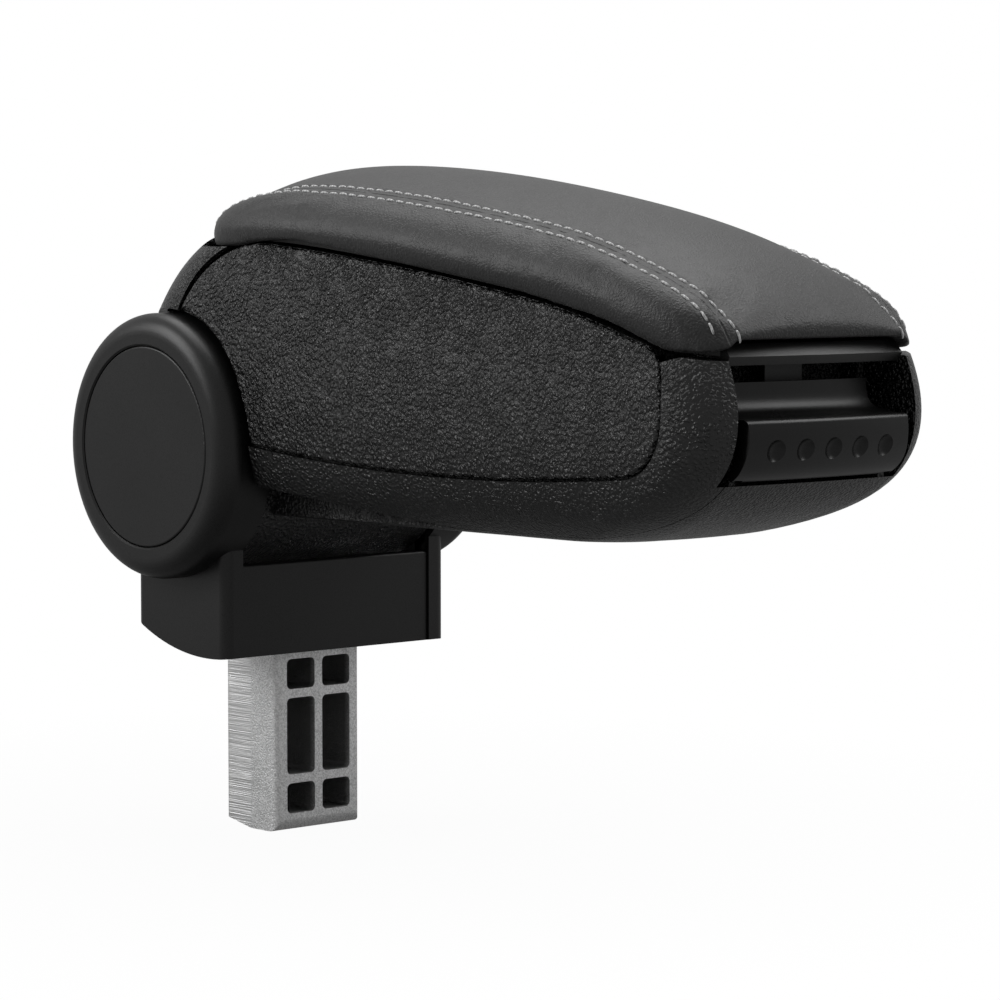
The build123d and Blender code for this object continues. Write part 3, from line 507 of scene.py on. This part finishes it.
def pocket_shade_mask(tree, where):
    """1 inside the post's pockets, where shade is painted, and 0 on its outside."""
    across = put(tree, "Math", operation="ABSOLUTE")
    inside = put(tree, "Math", {1: POCKET_HALF_Y}, operation="LESS_THAN")
    sunk = ramp(tree, POCKET_MOUTH_X)
    front = put(tree, "Math", {1: POCKET_BACK_X}, operation="GREATER_THAN")
    below = put(tree, "Math", {1: POCKET_TOP_Z}, operation="LESS_THAN")
    above = put(tree, "Math", {1: POCKET_FOOT_Z}, operation="GREATER_THAN")
    product = sunk
    wire(tree, where, "Y", across, 0)
    wire(tree, across, 0, inside, 0)
    wire(tree, where, "X", sunk, "Value")
    wire(tree, where, "X", front, 0)
    wire(tree, where, "Z", below, 0)
    wire(tree, where, "Z", above, 0)
    for test in (inside, front, below, above):
        step = put(tree, "Math", operation="MULTIPLY")
        wire(tree, product, 0, step, 0)
        wire(tree, test, 0, step, 1)
        product = step
    return product


def metal_finish(name, tones, rough, clouds, depth_mm, streaks):
    """Bare metal with a cast skin, and milled streaks behind the middle where asked for."""
    made, tree, shader, coords = new_finish(name)
    shader.inputs["Metallic"].default_value = 1.0
    drift = group_node(tree, DRIFT, coords, "Clouds", clouds)
    colour = put(tree, "Mix", {"A": grey(tones[0]), "B": grey(tones[1])}, data_type="RGBA")
    roughness = ramp(tree, (0.0, 1.0), rough)
    skin = put(tree, "TexNoise", {"Scale": SKIN_SCALE, "Detail": 3.0, "Roughness": 0.65})
    stretch = put(tree, "Mapping", {"Scale": STREAK_STRETCH})
    lines = put(tree, "TexNoise", {"Scale": 1.0, "Detail": 2.0})
    where = put(tree, "SeparateXYZ")
    milled = ramp(tree, MILLED_X, (0.0, streaks))
    height = put(tree, "Mix", data_type="FLOAT")
    bump = put(tree, "Bump", {"Strength": 1.0, "Distance": depth_mm * MM})
    pocket_shade = pocket_shade_mask(tree, where)
    # Painted shade darkens the colour inside the pockets.
    pocket_shade_mix = put(tree, "Mix", {"B": grey(POCKET_SHADE_TONE)}, data_type="RGBA")
    grains = ramp(tree, GRAIN_RANGE)
    wire(tree, height, VALUE_OUT, grains, "Value")
    wire(tree, grains, "Result", colour, MIX_SHARE)
    wire(tree, colour, COLOUR_OUT, pocket_shade_mix, COLOUR_A)
    wire(tree, pocket_shade, 0, pocket_shade_mix, MIX_SHARE)
    wire(tree, pocket_shade_mix, COLOUR_OUT, shader, "Base Color")
    wire(tree, drift, "Drift", roughness, "Value")
    wire(tree, roughness, "Result", shader, "Roughness")
    wire(tree, coords, "Object", skin, "Vector")
    wire(tree, coords, "Object", stretch, "Vector")
    wire(tree, stretch, "Vector", lines, "Vector")
    wire(tree, coords, "Object", where, "Vector")
    wire(tree, where, "X", milled, "Value")
    wire(tree, milled, "Result", height, MIX_SHARE)
    wire(tree, skin, "Fac", height, VALUE_A)
    wire(tree, lines, "Fac", height, VALUE_B)
    wire(tree, height, VALUE_OUT, bump, "Height")
    wire(tree, bump, "Normal", shader, "Normal")
    return made


cast_metal = metal_finish("cast_aluminium", (0.62, 0.96), (0.42, 0.58), 260.0, 0.26, 1.0)
plated_steel = metal_finish("plated_steel", (0.46, 0.56), (0.24, 0.36), 120.0, 0.02, 0.0)
nylon = black_finish("natural_nylon", (0.62, 0.70), (0.38, 0.48), 1500.0, 0.01, valley_shade_level=0.95)
print("metals and nylon:", [made.name for made in (cast_metal, plated_steel, nylon)])


# %% [markdown]
# ## A finish for every piece
#
# An armrest is put together from mouldings, castings and pressings of a few materials, so each
# piece takes the finish of its material. Every piece could be given its own, but a table from
# material to finish keeps like pieces alike. A second table holds the few that differ: the
# inlays' coarse grain, the tub and the lid's tail from another mould, and the lever, whose darker
# copy of the satin is painted shade.

# %% Give every piece of the frame its finish
FINISHES = {
    "smooth_plastic": satin,
    "grained_plastic": shell_grain,
    "leatherette": cover_grain,
    "cast_aluminium": cast_metal,
    "steel": plated_steel,
    "nylon": nylon,
    "mat_rubber": rubber,
}
SPECIAL = {
    "left_inlay": inlay_grain,
    "right_inlay": inlay_grain,
    "box_tub": tub_grain,
    "lid_tail": tub_grain,
    # painted shade: the lever takes a darker copy of the satin
    "latch_lever": lever_shaded_satin,
}

for name, piece in nodes.items():
    for slot in piece.material_slots:
        slot.material = SPECIAL.get(name) or FINISHES[slot.material.name]
print("finished pieces:", len(nodes), "of which special:", len(SPECIAL))


# %% [markdown]
# ## The cushion
#
# The lid's pad is foam under a sewn cover. Foam pushes the cover out evenly, so the shape is best
# found the way it comes about: a copy of the solid is remeshed into even squares, taken in a
# little and blown up as cloth, held along its flat underside. Before that, the cover is pulled as
# an upholsterer would: the nose is filled into a roll, the skirts are drawn down to the box and
# the rear end is tucked in, by short tables of millimetres along the pad. A light smoothing at
# the end relaxes what the pulling left. The seams are sewn in afterwards, because a remesh would
# wipe them out.

# %% Tools for the pad
MERGE_WITHIN = 0.01 * MM
SIM_FRAMES = 20
TINY = 1e-9


def copy_of_node(node, name):
    """A merged copy of a frame piece, as a new object to work on."""
    piece = bpy.data.objects.new(name, nodes[node].data.copy())
    scene.collection.objects.link(piece)
    piece.data.materials.clear()
    activate(piece)
    bpy.ops.object.mode_set(mode="EDIT")
    bpy.ops.mesh.select_all(action="SELECT")
    bpy.ops.mesh.remove_doubles(threshold=MERGE_WITHIN)
    bpy.ops.mesh.normals_make_consistent(inside=False)
    bpy.ops.object.mode_set(mode="OBJECT")
    return piece


def remesh_even(piece, size):
    """Rebuild the surface from squares of one size."""
    activate(piece)
    piece.data.remesh_voxel_size = size
    piece.data.remesh_voxel_adaptivity = 0.0
    bpy.ops.object.voxel_remesh()


def shift_along_normals(piece, distance):
    """Move the whole surface outwards, or inwards if the distance is negative."""
    activate(piece)
    bpy.ops.object.mode_set(mode="EDIT")
    bpy.ops.mesh.select_all(action="SELECT")
    bpy.ops.transform.shrink_fatten(value=distance)
    bpy.ops.object.mode_set(mode="OBJECT")


def swell(piece, pressure, reach, held):
    """Blow the piece up as cloth, and let no point go further than its reach."""
    before = [v.co.copy() for v in piece.data.vertices]
    group = piece.vertex_groups.new(name="held")
    group.add([v.index for v in piece.data.vertices if held(v)], 1.0, "REPLACE")
    cloth = piece.modifiers.new("stuffing", "CLOTH")
    cloth.settings.use_pressure = True
    cloth.settings.uniform_pressure_force = pressure
    cloth.settings.effector_weights.gravity = 0.0
    cloth.settings.vertex_group_mass = group.name
    for step in range(1, SIM_FRAMES + 1):
        scene.frame_set(step)
    blown = piece.evaluated_get(bpy.context.evaluated_depsgraph_get())
    after = [v.co.copy() for v in blown.data.vertices]
    piece.modifiers.remove(cloth)
    piece.vertex_groups.clear()
    for vertex, old, new in zip(piece.data.vertices, before, after):
        step = new - old
        vertex.co = old + step * min(1.0, reach / max(step.length, TINY))
    scene.frame_set(1)


print("the cover swells for", SIM_FRAMES, "frames")

# %% Pull the cover and blow up the pad
PAD_SQUARE = 1.9 * MM
PAD_INSET = 0.3 * MM
PAD_PRESSURE = 4.0
PAD_REACH = 0.9 * MM
UNDERSIDE = -0.5
FOOT_LINE = [
    (180, 140.0), (200, 136.2), (220, 132.4), (230, 130.2),
    (240, 127.0), (250, 123.6), (260, 121.3), (278, 121.3),
]
NOSE_LIFT = [(235, 0.0), (250, 0.9), (260, 1.9), (266, 2.6), (272, 2.9), (275, 2.2), (278, 0.6)]
SKIRT_DRAW = [(190, 0.0), (230, 1.5), (246, 1.5), (262, 2.2), (276, 3.0)]
ROLL_HEIGHT = 5.0
SKIRT_HEIGHT = 9.0
SKIRT_Y = 41.0
REAR_TUCK = 4.4
REAR_REACH = 48.0
TUCK_POWER = 1.5
RELAX_SHARE = 0.5
RELAX_ROUNDS = 6


def along_table(table, x):
    """A value read between the points of a short table of (x, value)."""
    for (x0, v0), (x1, v1) in zip(table, table[1:]):
        if x <= x1:
            return v0 + (v1 - v0) * limited((x - x0) / (x1 - x0))
    return table[-1][1]


def pull_cover(piece):
    """Fill the nose into a roll, draw the side skirts down to the box and tuck the rear end in."""
    for vertex in piece.data.vertices:
        x, y, z = vertex.co / MM
        foot = along_table(FOOT_LINE, x)
        up = limited((z - foot) / ROLL_HEIGHT)
        low = limited(1.0 - (z - foot) / SKIRT_HEIGHT) if abs(y) > SKIRT_Y else 0.0
        z += along_table(NOSE_LIFT, x) * up - along_table(SKIRT_DRAW, x) * low
        x += REAR_TUCK * max(0.0, (REAR_REACH - x) / REAR_REACH) ** TUCK_POWER
        vertex.co = Vector((x, y, z)) * MM


pad = copy_of_node("lid_cushion", "cushion_pad")
remesh_even(pad, PAD_SQUARE)
shift_along_normals(pad, -PAD_INSET)
pull_cover(pad)
swell(pad, PAD_PRESSURE, PAD_REACH, held=lambda v: v.normal.z < UNDERSIDE)
activate(pad)
relax = pad.modifiers.new("relax", "SMOOTH")
relax.factor = RELAX_SHARE
relax.iterations = RELAX_ROUNDS
bpy.ops.object.modifier_apply(modifier=relax.name)
print("pad points:", len(pad.data.vertices))


# %% [markdown]
# ## Seams
#
# The cover is three panels: a wide top and two side strips, joined along lines that run from front
# to back. Each joint is a fine groove between two folded edges. Cutting the pad by upright planes
# lays an edge exactly along each line, and those edges are then pushed in or out. The seams spread
# a little towards the rear, so the pad is straightened sideways for this and let go again once the
# stitches are in.

# %% Cut and press the seams
SEAM_Y = 42.9 * MM
SEAM_LEAN = 2.0 * MM
LEAN_REACH = 110.0 * MM
GROOVE = [(0.0, -0.45), (0.5, 0.18), (1.2, 0.0), (3.5, -0.35), (5.0, 0.1), (7.0, 0.0)]
ON_LINE = 0.002 * MM
FACING_UP = -0.1


def straighten(piece, sign):
    """Shift points sideways so that a seam which spreads towards the rear lies in one plane."""
    for vertex in piece.data.vertices:
        rear = max(0.0, (LEAN_REACH - vertex.co.x) / LEAN_REACH)
        side = limited(vertex.co.y / (0.5 * SEAM_Y), -1.0, 1.0)
        vertex.co.y -= sign * SEAM_LEAN * rear ** 2 * side


def press_line(piece, y, depth):
    """Move the points on one cut line along the surface's direction there."""
    bpy.ops.object.mode_set(mode="EDIT")
    bpy.ops.mesh.select_all(action="DESELECT")
    bpy.ops.object.mode_set(mode="OBJECT")
    for vertex in piece.data.vertices:
        vertex.select = abs(vertex.co.y - y) < ON_LINE and vertex.normal.z > FACING_UP
    bpy.ops.object.mode_set(mode="EDIT")
    bpy.ops.transform.shrink_fatten(value=depth)
    bpy.ops.object.mode_set(mode="OBJECT")


seam_lines = []
for side in (-1, 1):
    for offset, depth in GROOVE:
        for sign in (-1, 1) if offset else (1,):
            seam_lines.append((side * (SEAM_Y + sign * offset * MM), depth * MM))

straighten(pad, 1)
activate(pad)
bpy.ops.object.mode_set(mode="EDIT")
for y, depth in seam_lines:
    bpy.ops.mesh.select_all(action="SELECT")
    bpy.ops.mesh.bisect(plane_co=(0, y, 0), plane_no=(0, 1, 0))
bpy.ops.object.mode_set(mode="OBJECT")
bpy.context.tool_settings.mesh_select_mode = (True, False, False)
for y, depth in seam_lines:
    if depth:
        press_line(pad, y, depth)
smooth = pad.modifiers.new("finer", "SUBSURF")
smooth.levels = 1
smooth.render_levels = 1
bpy.ops.object.modifier_apply(modifier=smooth.name)
bpy.ops.object.shade_smooth()
pad.data.materials.append(cover_grain)
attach(pad, "lid")
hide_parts("lid_cushion")
print("pad faces after sewing:", len(pad.data.polygons))


# %% [markdown]
# ## Stitches
#
# Two rows of pale thread hold the folded edges down, one on each side of a seam. One stitch is a
# short bar of thread that dives into the cover at both ends. It could be drawn as one long curve,
# but single bars are what the eye sees, so one is modelled and copied along each row. The rows are
# found by shooting rays at the pad from outside, all in one upright plane. Hits on the far side
# and under the nose don't count.

# %% Find the rows and model one stitch
STITCH_PITCH = 5.2 * MM
STITCH_LENGTH = 4.3 * MM
THREAD_R = 0.47 * MM
THREAD_SIDES = 8
STITCH_CUTS = (-0.42, -0.28, 0.0, 0.28, 0.42)
END_SLIM = 0.45
END_DIP = 0.5 * MM
PAD_HEART = Vector((0.150, 0.0, 0.140))
RAY_STEPS = 1440
RAY_FROM = 0.3
SWEEP_START = radians(200.0)
SWEEP = radians(235.0)
LOWEST_NORMAL = -0.2


def row_points(piece, y):
    """Points of the pad's outline in one upright plane, from the rear foot to the nose."""
    points = []
    for step in range(RAY_STEPS + 1):
        angle = SWEEP_START - SWEEP * step / RAY_STEPS
        out = Vector((cos(angle), 0, sin(angle)))
        start = PAD_HEART + Vector((0, y, 0)) + out * RAY_FROM
        hit, place, normal, _ = piece.ray_cast(start, -out)
        near_side = hit and (place - PAD_HEART).dot(out) > 0
        if near_side and normal.z > LOWEST_NORMAL:
            points.append((place.copy(), normal.copy()))
    return points


def even_steps(points, pitch):
    """Place, direction and normal at equal distances along a row."""
    chosen = []
    due = pitch / 2
    run = 0.0
    for (a, normal), (b, _) in zip(points, points[1:]):
        length = (b - a).length
        while length > 0 and run + length >= due:
            chosen.append((a.lerp(b, (due - run) / length), (b - a).normalized(), normal))
            due += pitch
        run += length
    return chosen


def one_stitch():
    """A bar of thread along X: thick in the middle, bent down and thin at its ends."""
    bpy.ops.object.select_all(action="DESELECT")
    bpy.ops.mesh.primitive_cylinder_add(
        vertices=THREAD_SIDES, radius=THREAD_R, depth=STITCH_LENGTH, rotation=(0, pi / 2, 0))
    bar = bpy.context.object
    bar.name = "stitch"
    bpy.ops.object.transform_apply(rotation=True)
    bpy.ops.object.mode_set(mode="EDIT")
    for share in STITCH_CUTS:
        bpy.ops.mesh.select_all(action="SELECT")
        bpy.ops.mesh.bisect(plane_co=(share * STITCH_LENGTH, 0, 0), plane_no=(1, 0, 0))
    bpy.ops.object.mode_set(mode="OBJECT")
    for vertex in bar.data.vertices:
        share = abs(vertex.co.x) / (STITCH_LENGTH / 2)
        slim = 1.0 - END_SLIM * share ** 3
        vertex.co.y *= slim
        vertex.co.z = vertex.co.z * slim - END_DIP * share ** 4
    return bar


stitch = one_stitch()
print("points of one stitch:", len(stitch.data.vertices))

# %% Sew the rows
ROW_OFFSET = 3.5 * MM
ROW_FOOT_Z = 124.5 * MM
STITCH_SEAT = 0.45


def sew(place, along, normal):
    """One copy of the stitch, laid on the cover."""
    across = normal.cross(along).normalized()
    up = along.cross(across)
    axes = Matrix((along, across, up)).transposed().to_4x4()
    copy = stitch.copy()
    copy.data = stitch.data.copy()
    copy.data.transform(Matrix.Translation(place + up * STITCH_SEAT * THREAD_R) @ axes)
    scene.collection.objects.link(copy)
    return copy


copies = []
for side in (-1, 1):
    for offset in (-ROW_OFFSET, ROW_OFFSET):
        row = row_points(pad, side * SEAM_Y + offset)
        for place, along, normal in even_steps(row, STITCH_PITCH):
            if place.z >= ROW_FOOT_Z:
                copies.append(sew(place, along, normal))
bpy.data.objects.remove(stitch)
activate(copies[0])
for copy in copies:
    copy.select_set(True)
bpy.ops.object.join()
thread = bpy.context.object
thread.name = "seam_thread"
bpy.ops.object.shade_smooth()
straighten(pad, -1)
straighten(thread, -1)
print("stitches:", len(copies))


# %% [markdown]
# ## Thread
#
# Sewing thread is twisted from a few strands, which shows as bands under light: bright where a
# strand bulges and shaded where two of them meet. The twist could be modelled as a rope, but on a
# stitch of four millimetres a wave pattern paints the same bands into the colour, as painted shade
# between the strands, and a fine noise gives the fibres.

# %% Thread finish
TWIST_SCALE = 225.0
TWIST_BEND = 1.5
THREAD_TONES = (0.78, 0.94)
# Painted shade: the lines between the strands are darkened to this tone.
STRAND_SHADE_TONE = 0.48
THREAD_CLOUDS = 900.0
THREAD_ROUGH = 0.7
FIBRE_SCALE = 5200.0
FIBRE_DEPTH = 0.05 * MM


def thread_finish():
    """Pale twisted thread with painted shade in the lines between its strands."""
    made, tree, shader, coords = new_finish("pale_thread")
    light, lightest = THREAD_TONES
    drift = group_node(tree, DRIFT, coords, "Clouds", THREAD_CLOUDS)
    colour = put(tree, "Mix", {"A": grey(light), "B": grey(lightest)}, data_type="RGBA")
    twist = put(tree, "TexWave", {"Scale": TWIST_SCALE, "Distortion": TWIST_BEND}, bands_direction="X")
    # Painted shade darkens the thread between its strands.
    strand_shade_mix = put(tree, "Mix", {"A": grey(STRAND_SHADE_TONE)}, data_type="RGBA")
    fibres = put(tree, "TexNoise", {"Scale": FIBRE_SCALE, "Detail": 2.0})
    bump = put(tree, "Bump", {"Strength": 1.0, "Distance": FIBRE_DEPTH})
    shader.inputs["Roughness"].default_value = THREAD_ROUGH
    wire(tree, drift, "Drift", colour, MIX_SHARE)
    wire(tree, coords, "Object", twist, "Vector")
    wire(tree, twist, "Fac", strand_shade_mix, MIX_SHARE)
    wire(tree, colour, COLOUR_OUT, strand_shade_mix, COLOUR_B)
    wire(tree, strand_shade_mix, COLOUR_OUT, shader, "Base Color")
    wire(tree, coords, "Object", fibres, "Vector")
    wire(tree, fibres, "Fac", bump, "Height")
    wire(tree, bump, "Normal", shader, "Normal")
    return made


thread.data.materials.append(thread_finish())
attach(thread, "lid")
print("thread finish:", thread.data.materials[0].name)
